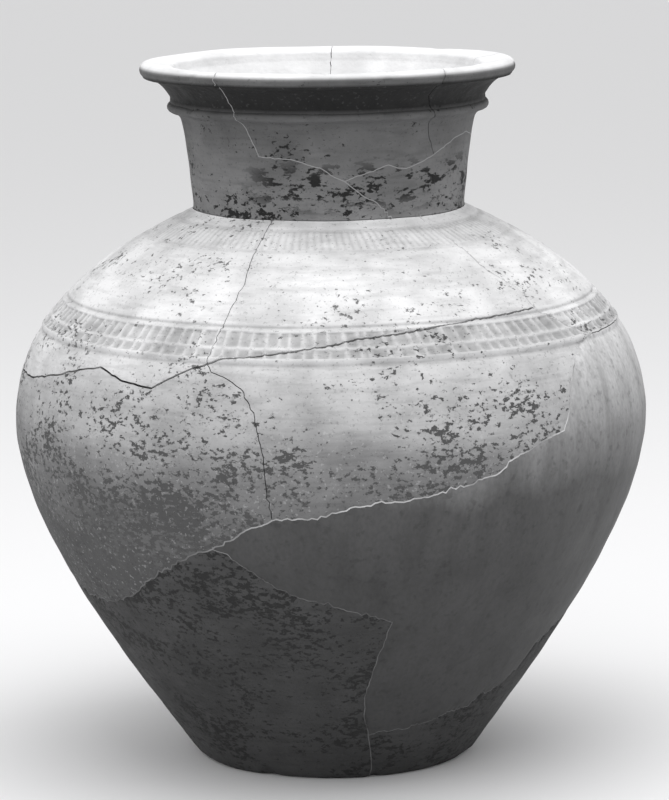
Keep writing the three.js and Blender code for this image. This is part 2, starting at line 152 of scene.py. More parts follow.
# %% Sizes
# heights of belly, band, neck, ridge and top, then radii and walls
BELLY, BAND_LOW, BAND_HIGH, NECK_FOOT, RIDGE, TOP = 197, 252, 268, 315.5, 374.6, 400
FOOT_RADIUS, BELLY_RADIUS, NECK_RADIUS, THROAT_RADIUS = 79, 180.7, 78.5, 70
WALL, NECK_WALL, FLOOR_THICK = 8.0, 7.3, 10
# how steep the wall is at foot and neck, and how far each handle of its two curves reaches
FOOT_SLOPE, SHOULDER_SLOPE = math.radians(54.4), math.radians(24)
FOOT_PULL, UNDER_PULL, OVER_PULL, SHOULDER_PULL = 56, 61, 58, 59
print("height", TOP, "width", 2 * BELLY_RADIUS)

# %% The body's curve
def curve_points(ends, count=240):
    t = np.linspace(0, 1, count)[:, None]
    if len(ends) == 3:
        weights = [(1 - t) ** 2, 2 * t * (1 - t), t ** 2]
    else:
        weights = [(1 - t) ** 3, 3 * t * (1 - t) ** 2, 3 * t * t * (1 - t), t ** 3]
    return sum(weight * np.array(end, float) for weight, end in zip(weights, ends))


foot_curve = curve_points([
    (FOOT_RADIUS, 0),
    (FOOT_RADIUS + FOOT_PULL * math.cos(FOOT_SLOPE), FOOT_PULL * math.sin(FOOT_SLOPE)),
    (BELLY_RADIUS, BELLY - UNDER_PULL), (BELLY_RADIUS, BELLY)])
shoulder_curve = curve_points([
    (BELLY_RADIUS, BELLY), (BELLY_RADIUS, BELLY + OVER_PULL),
    (NECK_RADIUS + SHOULDER_PULL * math.cos(SHOULDER_SLOPE),
     NECK_FOOT - SHOULDER_PULL * math.sin(SHOULDER_SLOPE)),
    (NECK_RADIUS, NECK_FOOT)])
body_curve = np.vstack([foot_curve, shoulder_curve[1:]])
body_along = np.gradient(body_curve, axis=0)
body_along /= np.linalg.norm(body_along, axis=1)[:, None]
body_out = np.c_[body_along[:, 1], -body_along[:, 0]]


def on_body(height, proud=0.0):
    """The outside at a height in mm, moved out square to the wall."""
    r, z = (np.interp(height, body_curve[:, 1], body_curve[:, k]) for k in (0, 1))
    out_r, out_z = (np.interp(height, body_curve[:, 1], body_out[:, k]) for k in (0, 1))
    return np.array([r + out_r * proud, z + out_z * proud])


print("band at radius", on_body(BAND_LOW)[0].round(1), on_body(BAND_HIGH)[0].round(1))

# %% The outline
def evenly(points, step):
    """Points along a chain at an even step."""
    points = np.asarray(points, float)
    lengths = np.r_[0, np.cumsum(np.linalg.norm(np.diff(points, axis=0), axis=1))]
    count = max(2, int(round(lengths[-1] / step)) + 1)
    at = np.linspace(0, lengths[-1], count)
    return np.c_[np.interp(at, lengths, points[:, 0]), np.interp(at, lengths, points[:, 1])]


def stretch_of_body(low, high, step, proud=0.0):
    heights = np.linspace(low, high, 160)
    return evenly([on_body(height, proud) for height in heights], step)


def ring_arc(x, z, radius, start, end, count):
    angles = np.radians(np.linspace(start, end, count))
    return np.c_[x + radius * np.cos(angles), z + radius * np.sin(angles)]


coarse = 1.6
outside = np.vstack([
    [(0, 0)], evenly([(30, 0), (76.4, 0)], 6), ring_arc(76.4, 2.6, 2.6, -80, -35, 4),
    stretch_of_body(3, BAND_LOW - 4, 2.4 * coarse),
    stretch_of_body(BAND_LOW - 3, BAND_HIGH + 3, 0.5),
    stretch_of_body(BAND_HIGH + 4, 300, 2.2 * coarse),
    stretch_of_body(301, 314.5, 0.7),
    ring_arc(79.8, 317.8, 2.6, 230, 180, 4),
    evenly(curve_points([(77.2, 320), (79, 344), (83.0, 366)]), 1.8 * coarse),
    evenly(curve_points([(83.4, 367.6), (84.6, 371), (88.8, 372.2)]), 0.9),
    ring_arc(88.8, RIDGE, 2.4, -70, 75, 7),
    evenly(curve_points([(89.4, 378.6), (88.9, 380.2), (90.4, 382)]), 0.8),
    evenly(curve_points([(90.9, 382.8), (96.1, 391), (104.6, 391.6)]), 1.1),
    ring_arc(102.5, 395.8, 4.2, -52, 90, 12),
    evenly([(101.4, 399.9), (90.2, 398.5)], 1.4),
])
inside = np.vstack([
    ring_arc(90, 395.4, 3.0, 100, 165, 5),
    evenly(curve_points([(86.3, 393.6), (80, 383), (72, 374), (THROAT_RADIUS, 366)]), 2.2),
    evenly([(THROAT_RADIUS, 362), (THROAT_RADIUS, 322)], 4),
    evenly(curve_points([(70.2, 319), (71, 306), (80, 302)]), 3),
    stretch_of_body(24, 306, 5 * coarse, -WALL)[::-1],
    evenly(curve_points([(84, 17), (78, 10.4), (68, FLOOR_THICK)]), 4),
    evenly([(62, FLOOR_THICK), (20, FLOOR_THICK)], 8), [(0, FLOOR_THICK)],
])
outline = np.vstack([outside, inside])
print("outline points", len(outside), len(inside))

# %% Spin the outline
SIDES = 720
form = bmesh.new()
chain = [form.verts.new((r * MM, 0, z * MM)) for r, z in outline]
links = [form.edges.new(pair) for pair in zip(chain, chain[1:])]
bmesh.ops.spin(form, geom=chain + links, cent=(0, 0, 0), axis=(0, 0, 1), dvec=(0, 0, 0),
               angle=2 * math.pi, steps=SIDES, use_merge=True, use_duplicate=False)
bmesh.ops.remove_doubles(form, verts=form.verts, dist=0.02 * MM)
bmesh.ops.recalc_face_normals(form, faces=form.faces)
whole = bpy.data.meshes.new("whole_jar")
form.to_mesh(whole)
form.free()
print("whole jar", len(whole.vertices), "points")

# %% [markdown]
# ## Break lines
# Breaks ran over the jar like cracks in an egg, and three of them meet at each corner. They could
# be drawn as curves in space, but then a change of the form would leave them hanging. So a place
# on the wall is written as a turn from the front, in degrees, and a level. The level counts the
# jar's zones: 1 foot, 2 belly, 3 and 4 edges of the shoulder band, 5 neck foot, 6 ridge, 7 top.
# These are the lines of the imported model, so each sherd here stands on its node.

# %% Break lines
LEVELS = [0, 0, BELLY, BAND_LOW, BAND_HIGH, NECK_FOOT, RIDGE, TOP]
peak, fork, seam_foot = (-23.7, 2.95), (-10.6, 1.848), (-22.5, 1.755)
corner, heel, band_fork = (12.3, 1.533), (10.5, 1.152), (49.4, 4.05)
fill_top, fill_back, fill_foot = (62, 3), (113, 2.9), (112, 1.49)
left_cross, left_foot = (-102, 2.78), (-92, 1.53)
back_r, back_m, back_l = (155, 2.74), (188, 2.85), (208, 2.68)
low_r, low_m, low_l = (152, 1.56), (180, 1.58), (211, 1.58)
neck_fork, neck_rise, neck_back = (6.7, 5.386), (47, 5.59), (106, 5.5)
# widths in mm: a crack left open, a close join, a seam filled with plaster, and a fine one
OPEN, TIGHT, FILLED, FINE = 1.1, 0.5, 0.9, 0.6
BREAKS = [
    (OPEN, [peak, (-28, 2.865), (-34, 2.69), (-41.5, 2.73), (-47.8, 2.824), (-53.5, 2.77),
            (-61.5, 2.664), (-72, 2.56), (-84, 2.545), (-94, 2.655), left_cross]),
    (TIGHT, [peak, (-22.5, 2.88), (-19, 2.818), (-16.3, 2.738), (-13.5, 2.52), (-12.2, 2.218),
             (-11.5, 1.98), fork]),
    (OPEN, [peak, (-18, 3.03), (-7.5, 3.28), (1.8, 3.52), (5, 3.64), (13.8, 3.76), (21.2, 3.88),
            (30, 4.01), (40, 4.03), band_fork]),
    (FILLED, [band_fork, (52.5, 3.8), (56, 3.45), fill_top]),
    (FILLED, [fork, (-15.9, 1.812), seam_foot]),
    (FILLED, [seam_foot, (-25.5, 1.744), (-34.3, 1.679), (-46.2, 1.575), (-56, 1.533),
              (-68, 1.523), (-80, 1.548), left_foot]),
    (FILLED, [fork, (-4.4, 1.85), (4, 1.888), (16, 1.907), (24, 1.931), (30, 1.956),
              (35.2, 2.013), (39, 2.095), (44.9, 2.171), (46.2, 2.278), (49.2, 2.633),
              (53, 2.849), (57, 2.955), fill_top]),
    (FINE, [seam_foot, (-20.3, 1.746), (-14, 1.674), (-7.7, 1.62), (0.8, 1.585), corner]),
    (FINE, [corner, (10, 1.407), (8, 1.292), (8.5, 1.216), heel]),
    (FINE, [heel, (12.2, 1.093), (13.8, 1.026), (14, 1), (14, 0)]),
    (FINE, [heel, (18.5, 1.166), (29, 1.179), (34.8, 1.197), (44.2, 1.213), (46, 1.238),
              (54, 1.252), (60, 1.305), (62, 1.365), (66, 1.391), (76, 1.421), (90, 1.447),
              (102, 1.467), fill_foot]),
    (TIGHT, [fill_top, (70, 3), (84, 3), (98, 2.98), (106, 2.94), fill_back]),
    (FILLED, [fill_back, (116, 2.5), (121, 2), (118, 1.85), (119, 1.72), (115, 1.58), fill_foot]),
    (TIGHT, [peak, (-22.6, 3.97), (-21.6, 4.29), (-21.3, 4.446), (-22.3, 4.61), (-24, 5)]),
    (FINE, [band_fork, (48.6, 4.25), (44.5, 4.467), (43.6, 4.53), (43.7, 4.65), (41.5, 5)]),
    (FILLED, [fill_back, (115, 3.2), (113, 3.7), (110, 4.2), (112, 4.6), (108, 5)]),
    (TIGHT, [back_m, (190, 3.1), (187, 3.6), (185, 4.1), (189, 4.5), (186, 5)]),
    (FILLED, [left_cross, (-97, 3.3), (-100, 3.8), (-104, 4.3), (-102, 4.7), (-105, 5)]),
    (FILLED, [fill_back, (121, 2.78), (132, 2.7), (143, 2.82), back_r]),
    (FILLED, [back_r, (165, 2.66), (176, 2.74), back_m]),
    (FILLED, [back_m, (197, 2.8), back_l]),
    (OPEN, [back_l, (219, 2.6), (230, 2.7), (241, 2.62), (258, 2.78)]),
    (FILLED, [back_r, (158, 2.4), (153, 2.05), (157, 1.85), low_r]),
    (TIGHT, [back_l, (205, 2.35), (210, 2), (206, 1.8), low_l]),
    (FILLED, [left_cross, (-99, 2.4), (-103, 2), (-98, 1.75), left_foot]),
    (FILLED, [fill_foot, (124, 1.55), (138, 1.5), low_r]),
    (FILLED, [low_r, (165, 1.53), low_m]),
    (FILLED, [low_m, (195, 1.54), low_l]),
    (FILLED, [low_l, (224, 1.54), (238, 1.6), (252, 1.53), (268, 1.53)]),
    (FILLED, [fill_foot, (115, 1.35), (111, 1.2), (114, 1.05), (114, 1), (114, 0)]),
    (FILLED, [low_m, (183, 1.4), (178, 1.25), (181, 1.08), (181, 1), (181, 0)]),
    (FILLED, [left_foot, (-95, 1.4), (-91, 1.25), (-94, 1.08), (-94, 1), (-94, 0)]),
    (FINE, [neck_fork, (2.4, 5.43), (-1.8, 5.5), (-14.6, 5.6), (-28.2, 5.62), (-34, 5.95),
              (-37, 6.3), (-35.7, 7.1)]),
    (FINE, [neck_fork, (13.3, 5.26), (20.3, 5.17), (27, 5)]),
    (FINE, [neck_fork, (10, 5.42), (24.6, 5.53), (28.8, 5.495), (32.6, 5.485), (40, 5.53),
              neck_rise]),
    (TIGHT, [neck_rise, (43, 5.78), (37, 6.4), (38, 7.1)]),
    (FINE, [neck_rise, (61, 5.725), (72, 5.76), (84, 5.7), (95, 5.62), neck_back]),
    (TIGHT, [neck_back, (103, 5.9), (106, 6.3), (104, 7.1)]),
    (TIGHT, [neck_back, (108, 5.25), (104, 5)]),
    (TIGHT, [(176, 5), (180, 5.35), (175, 5.7), (179, 6.1), (178, 7.1)]),
    (TIGHT, [(-97, 5), (-94, 5.4), (-99, 5.8), (-96, 6.2), (-97, 7.1)]),
]
print("breaks", len(BREAKS))

# %% [markdown]
# ## Rungs through the wall
# A break crosses the wall square to it. A flat cutting plane would go through the whole jar, so
# each break gets a bent sheet of its own. At each place a rung runs from just outside the wall to
# just inside it, and neighbouring rungs carry the sheet. Small steps to the side make the edge
# ragged, as fired clay breaks.

# %% Rungs
REACH = 6.0
BEND = 0.12
FLOOR_EDGE = 64
CREASE_RADIUS, NECK_SPREAD = 77.3, 13.9
RIDGE_RADIUS, LIP_SPREAD = 91.2, 15.5
FLOOR_RUNG = np.array([(FLOOR_EDGE, -REACH), (FLOOR_EDGE, FLOOR_THICK + REACH)])
FOOT_RUNG = np.array([(FOOT_RADIUS + REACH, -REACH), (71, 18 + REACH)])
crease_slope = math.radians(48)
crease_aim = np.array([-math.cos(crease_slope), -math.sin(crease_slope)])
CREASE = np.array([CREASE_RADIUS, NECK_FOOT + 1])
CREASE_RUNG = np.array([CREASE - REACH * crease_aim,
                        CREASE + (NECK_WALL + 2 * REACH) * crease_aim])


def body_rung(height):
    return np.array([on_body(height, REACH), on_body(height, -WALL - REACH)])


def neck_rung(height):
    if height > RIDGE:
        r = RIDGE_RADIUS + LIP_SPREAD * (height - RIDGE) / (TOP - RIDGE)
    else:
        r = CREASE_RADIUS + NECK_SPREAD * (height - NECK_FOOT) / (RIDGE - NECK_FOOT)
    return np.array([(r + REACH, height), (THROAT_RADIUS - REACH, height)])


def rung_at(level):
    zone = min(int(math.floor(level)), 6)
    share = level - zone
    height = LEVELS[zone] + (LEVELS[zone + 1] - LEVELS[zone]) * share
    if zone == 0:
        return FLOOR_RUNG * (1 - share) + FOOT_RUNG * share
    if zone == 1 and share < BEND:
        return FOOT_RUNG * (1 - share / BEND) + body_rung(BELLY * BEND) * share / BEND
    if zone == 4 and share > 1 - BEND:
        part = (share - 1 + BEND) / BEND
        start = body_rung(NECK_FOOT - (NECK_FOOT - BAND_HIGH) * BEND)
        return start * (1 - part) + CREASE_RUNG * part
    if zone == 5 and share < BEND:
        part = share / BEND
        return CREASE_RUNG * (1 - part) + neck_rung(NECK_FOOT + (RIDGE - NECK_FOOT) * BEND) * part
    return body_rung(height) if zone < 5 else neck_rung(height)


def in_space(turn_degrees, level):
    angle = math.radians(turn_degrees)
    return [Vector((r * math.sin(angle), -r * math.cos(angle), z)) * MM for r, z in rung_at(level)]


print("rung at the belly", rung_at(2.0).round(1).tolist())

# %% Ragged breaks
rng = np.random.default_rng(7)
DEGREES_A_MM, MM_A_LEVEL = 0.35, 90
STEADY_BELOW = 1.1


def ragged_rungs(places, step=2.6, jitter=0.3):
    """Rungs at small steps along a break, moved aside a little, but not near the floor."""
    rungs = []
    for (turn_a, level_a), (turn_b, level_b) in zip(places, places[1:]):
        start, end = in_space(turn_a, level_a)[0], in_space(turn_b, level_b)[0]
        parts = max(1, int((end - start).length / MM / step))
        for part in range(parts):
            share = part / parts
            move = 0 if part == 0 or min(level_a, level_b) < STEADY_BELOW else 1
            aside, up = move * rng.normal(0, jitter), move * rng.normal(0, jitter)
            turn_now = turn_a + (turn_b - turn_a) * share + aside * DEGREES_A_MM
            level_now = level_a + (level_b - level_a) * share + up / MM_A_LEVEL
            rungs.append(in_space(turn_now, max(level_now, 0)))
    rungs.append(in_space(*places[-1]))
    return rungs


all_rungs = [(width, ragged_rungs(places)) for width, places in BREAKS]
print("rungs", sum(len(rungs) for _, rungs in all_rungs))

# %% [markdown]
# ## Sheets and rings
# What the saw is to wood, a thin sheet is to this wall: whatever it passes through is gone. A sheet
# starts as a grid of two rows, whose points move onto the rungs, and an extrusion gives it its
# thickness. A break that runs all the way round is simpler, because the spin operator can turn it.

# %% A sheet
RUN_ON = 0.6


def sheet_mesh(rungs, thickness, name):
    """A grid of two rows moved onto the rungs, then given its thickness by extruding."""
    last = len(rungs) - 1
    middles = [(outer + inner) / 2 for outer, inner in rungs]
    sides = []
    for place in range(last + 1):
        along = (middles[min(place + 1, last)] - middles[max(place - 1, 0)]).normalized()
        across = (rungs[place][1] - rungs[place][0]).normalized()
        sides.append((along.cross(across).normalized(), along))
    form = bmesh.new()
    made = bmesh.ops.create_grid(form, x_segments=last, y_segments=1, size=0.5)
    for vert in made["verts"]:
        place = int(round((vert.co.x + 0.5) * last))
        outer, inner = rungs[place]
        side, along = sides[place]
        run_on = {0: -RUN_ON, last: RUN_ON}.get(place, 0) * thickness
        vert.co = (outer if vert.co.y > 0 else inner) + along * run_on * MM
        vert.normal = side
    bmesh.ops.triangulate(form, faces=form.faces)
    form.verts.index_update()
    shift = {vert.index: vert.normal.copy() * thickness / 2 * MM for vert in form.verts}
    lower = list(form.verts)
    copied = bmesh.ops.extrude_face_region(form, geom=form.faces[:])
    upper = [item for item in copied["geom"] if isinstance(item, bmesh.types.BMVert)]
    tree = kdtree.KDTree(len(lower))
    for count, vert in enumerate(lower):
        tree.insert(vert.co, count)
    tree.balance()
    pairs = [(vert, lower[tree.find(vert.co)[1]]) for vert in upper]
    for above, below in pairs:
        above.co = below.co + shift[below.index]
    for above, below in pairs:
        below.co = below.co - shift[below.index]
    bmesh.ops.recalc_face_normals(form, faces=form.faces)
    if form.calc_volume(signed=True) < 0:
        bmesh.ops.reverse_faces(form, faces=form.faces)
    mesh = bpy.data.meshes.new(name)
    form.to_mesh(mesh)
    form.free()
    return mesh


print("sheets run on by", RUN_ON, "of their thickness")

# %% A ring
RING_SIDES = 180


def ring_mesh(rung, thickness, name):
    """A break all the way round is a thin strip turned by the spin operator."""
    outer, inner = (Vector((point[0], 0, point[1])) * MM for point in rung)
    across = (inner - outer).normalized() * thickness / 2 * MM
    side = Vector((-across.z, 0, across.x))
    form = bmesh.new()
    corners = [form.verts.new(p) for p in (outer + side, outer - side, inner - side, inner + side)]
    edges = [form.edges.new((corners[k], corners[(k + 1) % 4])) for k in range(4)]
    bmesh.ops.spin(form, geom=corners + edges, cent=(0, 0, 0), axis=(0, 0, 1), dvec=(0, 0, 0),
                   angle=2 * math.pi, steps=RING_SIDES, use_merge=True, use_duplicate=False)
    bmesh.ops.recalc_face_normals(form, faces=form.faces)
    mesh = bpy.data.meshes.new(name)
    form.to_mesh(mesh)
    form.free()
    return mesh


print("ring sides", RING_SIDES)

# %% The break in the floor
# each place: a turn, and its distance from the middle as a share of the floor's edge
floor_places = [(-52, 1.08), (-48, 0.8), (-60, 0.5), (-20, 0.2), (110, 0.18), (150, 0.45),
                (138, 0.75), (142, 1.08)]
floor_rungs = []
for turn_degrees, share in floor_places:
    x = FLOOR_EDGE * share * math.sin(math.radians(turn_degrees))
    y = -FLOOR_EDGE * share * math.cos(math.radians(turn_degrees))
    floor_rungs.append([Vector((x, y, -REACH)) * MM, Vector((x, y, FLOOR_THICK + REACH)) * MM])
print("floor rungs", len(floor_rungs))

# %% [markdown]
# ## Working the surface
# The wheel leaves shallow rings, the hand leaves uneven strokes. The shoulder band was pressed and
# scraped: a raised bead below, two rows of sunk cells with ribs between them, a low ridge between
# the rows, and a cut line on top. Bump in a material would be quicker, but it leaves the jar's edge
# smooth and is lost when the mesh is used alone. So all of it moves the points of the wall in or
# out, along the wall's own normals.

# %% Points of the wall
point_count = len(whole.vertices)
wall_points = np.empty(point_count * 3)
whole.vertices.foreach_get("co", wall_points)
wall_points = wall_points.reshape(-1, 3) / MM
normals = np.empty(point_count * 3)
whole.vertex_normals.foreach_get("vector", normals)
normals = normals.reshape(-1, 3)
radius = np.hypot(wall_points[:, 0], wall_points[:, 1])
azimuth = np.degrees(np.arctan2(wall_points[:, 0], -wall_points[:, 1]))
height = wall_points[:, 2]
NECK_INSIDE = 314


def inner_skin(radius, height):
    """True on the inside wall, the floor's top and the mouth."""
    wall = np.interp(height, body_curve[:, 1], body_curve[:, 0])
    throat = np.interp(height, [0, 318, 366, TOP], [74, 74, 75, 99])
    body = (height < NECK_INSIDE) & (radius < wall - 5) & (height > 5)
    return body | ((height >= NECK_INSIDE) & (radius < throat))


skin = inner_skin(radius, height)
print("points outside", int((~skin).sum()), "inside", int(skin.sum()))

# %% Uneven values
def bell(distance, width):
    return np.exp(-(distance / width) ** 2)


def wobble(seed, angle, height, waves=6, tall=40.0):
    """A smooth uneven value over the wall, the same on each run."""
    draw = np.random.default_rng(seed)
    total = np.zeros_like(angle)
    for _ in range(waves):
        turns, phase, rise = draw.integers(1, 9), draw.uniform(0, 6.28), draw.uniform(-1, 1)
        total += np.sin(np.radians(angle) * turns + phase + rise * height / tall) / waves ** 0.5
    return total


print("wobble at the front", wobble(5, np.zeros(1), np.zeros(1)).round(2))

# %% The two bands
STROKES, STROKE_STEP = 139, 7.1
stroke_shift = rng.normal(0, 0.13, STROKES)
stroke_depth = rng.uniform(0.6, 1.15, STROKES)
slant_at = [-180, -110, -70, -45, -20, 0, 25, 60, 110, 180]
slant_degrees = [0, 15, 24, 12, 2, -8, -20, -26, -16, 0]
BAND_MIDDLE, MID_RIDGE = 259.5, 257.6
BEAD_OUT, CELL_IN, RIB_OUT, MID_OUT, CUT_IN = 1.15, 0.65, 1.15, 0.55, 0.75
NECK_TICKS, TICK_STEP, TICK_LEAN = 150, 3.6, 0.05
NECK_BAND_LOW, NECK_BAND_MIDDLE, NECK_BAND_HIGH = 302.8, 307, 312


def bands(azimuth, height):
    """How far the bands stand out of the wall, how much dirt and painted shade darken them, and what
    lies in a cell.
    """
    slant = np.tan(np.radians(np.interp(azimuth, slant_at, slant_degrees)))
    leaning = azimuth / 360 * STROKES - slant * (height - BAND_MIDDLE) / STROKE_STEP
    nearest = np.round(leaning).astype(int)
    from_stroke = (leaning - nearest - stroke_shift[nearest % STROKES]) * STROKE_STEP
    rib = bell(from_stroke, 1.05) * stroke_depth[nearest % STROKES]
    wave = wobble(3, azimuth, height) * 0.35
    low_line, high_line, mid_line = BAND_LOW + wave, BAND_HIGH + wave, MID_RIDGE + wave
    in_cells = (height > low_line + 1.2) & (height < high_line - 2.4)
    out = BEAD_OUT * bell(height - low_line, 1.5) - 0.45 * bell(height - low_line + 2.6, 1.0)
    out += np.where(in_cells, -CELL_IN + RIB_OUT * rib, 0)
    out += MID_OUT * bell(height - mid_line, 0.8)
    out += 0.45 * bell(height - high_line + 1.7, 0.8) - CUT_IN * bell(height - high_line, 0.8)
    # the cells, the cut line on top and the strip under the bead are darkened: partly dirt, partly
    # painted shade where these recesses and the bead's underside lie in shadow
    shade_and_dirt = np.where(in_cells, np.clip(1 - rib * 1.2 - bell(height - mid_line, 1.0), 0, 1), 0)
    shade_and_dirt = np.maximum(shade_and_dirt, 0.8 * bell(height - high_line, 0.9))
    shade_and_dirt = np.maximum(shade_and_dirt, 0.6 * bell(height - low_line + 2.4, 0.9))
    # the narrow band at the neck foot: two cut lines and a ladder of light ticks
    tick_number = azimuth / 360 * NECK_TICKS + (height - NECK_BAND_MIDDLE) * TICK_LEAN
    tick = bell((tick_number - np.round(tick_number)) * TICK_STEP, 0.7)
    in_neck_band = (height > 303.5) & (height < 311.5)
    lines = 0.5 * bell(height - NECK_BAND_LOW - wave * 0.5, 0.65)
    lines += 0.6 * bell(height - NECK_BAND_HIGH - wave * 0.4, 0.7)
    out -= lines + np.where(in_neck_band, 0.28 * tick, 0)
    # the neck band's cut lines and ticks are darkened too: dirt and painted shade in the grooves
    shade_and_dirt = np.maximum(shade_and_dirt, lines + np.where(in_neck_band, 0.55 * tick, 0))
    return out, np.clip(shade_and_dirt, 0, 1), in_cells


work, _, in_cells = bands(azimuth, height)
print("band deepest", work.min().round(2), "proudest", work.max().round(2))

# %% Throwing rings
# rise in mm for one radian of the wave, and how far the wave goes in and out
FINE_RISE, FINE_OUT, WIDE_RISE, WIDE_OUT = 2.9, 0.08, 7.3, 0.12
rings = np.sin(height / FINE_RISE + 0.8 * wobble(5, azimuth, height)) * FINE_OUT
rings += np.sin(height / WIDE_RISE + wobble(6, azimuth, height, tall=90)) * WIDE_OUT
work += np.where(in_cells, rings * 0.3, rings) + 0.35 * wobble(8, azimuth, height, tall=60)
work = np.where(skin, rings * 1.5, work)
print("rings out by", rings.max().round(2))

# %% [markdown]
# ## Chips and worn edges
# Clay loses small flakes along its breaks, and more at the lip and the ridge. A bevel would round
# every edge by the same amount, which looks machined. Here each point asks a search tree how far
# the next break is, and sinks by an uneven amount if it is near. A few places get a real chip.

# %% Distance from the breaks
line_points = []
for _, rungs in all_rungs:
    for (outer_a, inner_a), (outer_b, inner_b) in zip(rungs, rungs[1:]):
        for share in (0.0, 0.5):
            outer = outer_a.lerp(outer_b, share)
            inner = inner_a.lerp(inner_b, share)
            line_points.append((outer + (inner - outer).normalized() * REACH * MM))
near_tree = kdtree.KDTree(len(line_points))
for index, point in enumerate(line_points):
    near_tree.insert(point, index)
near_tree.balance()
from_break = np.full(point_count, 99.0)
for index in np.nonzero(~skin & (height > 1))[0]:
    found = near_tree.find(Vector(wall_points[index]) * MM)
    from_break[index] = found[2] / MM
print("points near a break", int((from_break < 2).sum()))

# %% Worn edges and chips
WORN_WIDTH, WORN_LEAST, WORN_MORE = 1.3, 0.25, 0.75
x, y, z = wall_points.T
ragged = 0.5 + 0.5 * np.sin(x * 1.7 + np.sin(z * 1.3) * 2 + y * 1.1)
work -= bell(from_break, WORN_WIDTH) * (WORN_LEAST + WORN_MORE * ragged)

# each chip: turn and height of its middle, then its width and depth in mm
CHIPS = [(-45, 397, 6, 1.6), (-36, 393, 5, 1.5), (-20, 398, 4, 1.2), (18, 396, 5, 1.4),
         (38, 394, 6, 1.8), (-58, 376, 7, 1.7), (-5, 375, 4, 1.1), (84, 395, 6, 1.6),
         (140, 397, 7, 1.7), (-120, 394, 6, 1.6), (170, 375, 6, 1.4), (-28, 3, 8, 2.0),
         (16, 2, 7, 1.6), (70, 3, 8, 1.6), (-80, 2, 8, 1.8), (56.8, 168, 3, 0.7),
         (51.6, 161, 3, 0.7)]
for chip_turn, chip_height, chip_size, chip_depth in CHIPS:
    around = (azimuth - chip_turn + 180) % 360 - 180
    along = np.radians(around) * radius
    away = np.hypot(along, height - chip_height)
    work -= np.where(skin, 0, chip_depth * bell(away, chip_size / 2))
wall_points += normals * work[:, None]
wall_points[:, 2] = np.clip(wall_points[:, 2], 0, None)
whole.vertices.foreach_set("co", (wall_points * MM).ravel())
whole.update()
print("chips", len(CHIPS), "deepest", work.min().round(2))

# %% [markdown]
# ## Breaking the jar
# The real jar fell and broke where it was weak. Here each sherd could be modelled by itself, but
# then its break faces would have to be matched to its neighbours' by hand. Breaking the finished
# jar gives faces that fit. Forty cuts one after another would be slow, so the sheets stand in one
# collection and a single Boolean modifier takes them all out. The loose parts are the sherds.

# %% Boolean helpers
def as_object(mesh, name):
    made = bpy.data.objects.new(name, mesh)
    bpy.context.scene.collection.objects.link(made)
    return made


def boolean_with(target, cutters, operation):
    group = bpy.data.collections.new("cutters")
    for cutter in cutters:
        group.objects.link(cutter)
    modifier = target.modifiers.new("cut", "BOOLEAN")
    modifier.operation = operation
    modifier.operand_type = "COLLECTION"
    modifier.collection = group
    modifier.solver = "MANIFOLD"
    shapes = bpy.context.evaluated_depsgraph_get()
    result = bpy.data.meshes.new_from_object(target.evaluated_get(shapes))
    target.modifiers.remove(modifier)
    bpy.data.collections.remove(group)
    return result


print("breaks to cut", len(all_rungs) + 3)

# %% Break the jar
cutters = [as_object(sheet_mesh(rungs, width, "sheet"), "sheet") for width, rungs in all_rungs]
cutters.append(as_object(sheet_mesh(floor_rungs, TIGHT, "sheet"), "sheet"))
cutters.append(as_object(ring_mesh(CREASE_RUNG, TIGHT, "ring"), "ring"))
cutters.append(as_object(ring_mesh(FLOOR_RUNG, TIGHT, "ring"), "ring"))
jar = as_object(whole, "jar")
broken = boolean_with(jar, cutters, "DIFFERENCE")
print("after breaking", len(broken.vertices), "points")

# %% Part the sherds
broken_jar = as_object(broken, "broken")
for other in bpy.context.selected_objects:
    other.select_set(False)
bpy.context.view_layer.objects.active = broken_jar
broken_jar.select_set(True)
bpy.ops.object.mode_set(mode="EDIT")
bpy.ops.mesh.select_all(action="SELECT")
bpy.ops.mesh.separate(type="LOOSE")
bpy.ops.object.mode_set(mode="OBJECT")
loose = [item for item in bpy.context.selected_objects if item.type == "MESH"]
print("loose parts", len(loose))

# %% [markdown]
# ## Material helpers
# Fired clay is never one colour: slip wears, crust flakes and grime sits in hollows; here the
# hollows are darkened by painted shade as well. A painted image would need the jar unwrapped and
# would show its pixels. Here every finish is mixed from noise on the Object coordinates, so it stays
# put on the clay and runs on from sherd to sherd. A few small helpers keep the node trees short.

# %% Material helpers
def node(tree, kind, **settings):
    made = tree.nodes.new(kind)
    for key, value in settings.items():
        setattr(made, key, value)
    return made


def cloud(tree, coords, scale, detail=4, stretch=(1, 1, 1), rough=0.55):
    mapping = node(tree, "ShaderNodeMapping")
    mapping.inputs["Scale"].default_value = stretch
    tree.links.new(coords, mapping.inputs["Vector"])
    texture = node(tree, "ShaderNodeTexNoise")
    texture.inputs["Scale"].default_value = scale
    texture.inputs["Detail"].default_value = detail
    texture.inputs["Roughness"].default_value = rough
    tree.links.new(mapping.outputs["Vector"], texture.inputs["Vector"])
    return texture.outputs["Fac"]


def spread(tree, value, low, high, to_low=0.0, to_high=1.0):
    ranged = node(tree, "ShaderNodeMapRange")
    ends = {"From Min": low, "From Max": high, "To Min": to_low, "To Max": to_high}
    for key, amount in ends.items():
        ranged.inputs[key].default_value = amount
    tree.links.new(value, ranged.inputs["Value"])
    return ranged.outputs["Result"]


def combine(tree, how, first, second):
    maths = node(tree, "ShaderNodeMath", operation=how, use_clamp=True)
    for socket, value in zip(maths.inputs, (first, second)):
        if isinstance(value, (int, float)):
            socket.default_value = value
        else:
            tree.links.new(value, socket)
    return maths.outputs[0]


